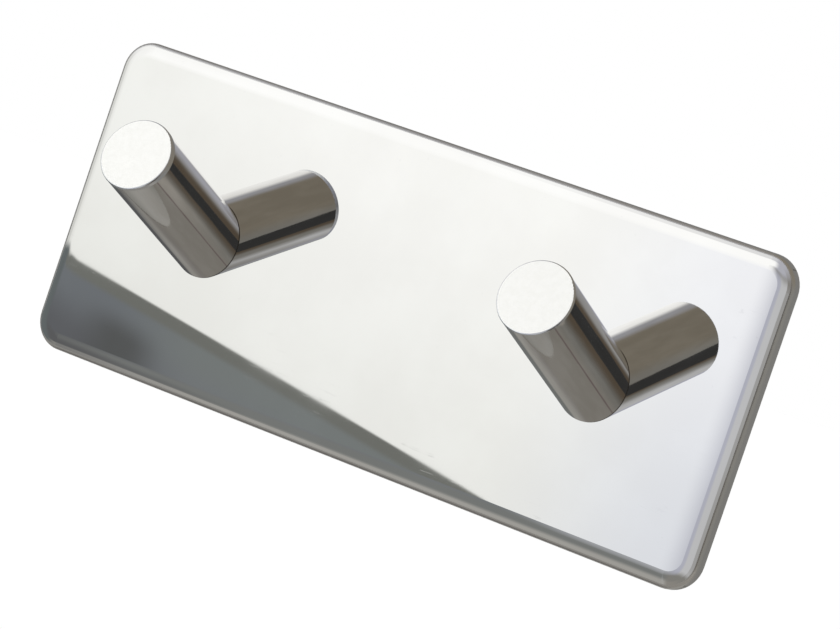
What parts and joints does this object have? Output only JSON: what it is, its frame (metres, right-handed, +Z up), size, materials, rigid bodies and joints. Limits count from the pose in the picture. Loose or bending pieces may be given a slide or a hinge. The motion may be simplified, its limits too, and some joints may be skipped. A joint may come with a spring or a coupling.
{
  "type": "adhesive double hook",
  "caption": "Self-adhesive wall hook with round pegs leaning upwards from a shallow pressed plate of mirror-polished steel, with a foam adhesive pad behind.",
  "frame": {"origin": "centre of the adhesive pad's back face, on the wall", "axes": "+X to the right along the plate, +Y into the wall, +Z up; the pegs stand out towards -Y"},
  "size_m": [0.104, 0.0268, 0.0436],
  "materials": {
    "polished_plate": "polished",
    "polished_bar": "polished",
    "screw_steel": "satin",
    "adhesive_foam": "matte"
  },
  "bodies": {
    "root": {"plate": "polished_plate", "left_peg": "polished_bar", "right_peg": "polished_bar", "left_screw": "screw_steel", "right_screw": "screw_steel", "adhesive_pad": "adhesive_foam"}
  },
  "joints": []
}
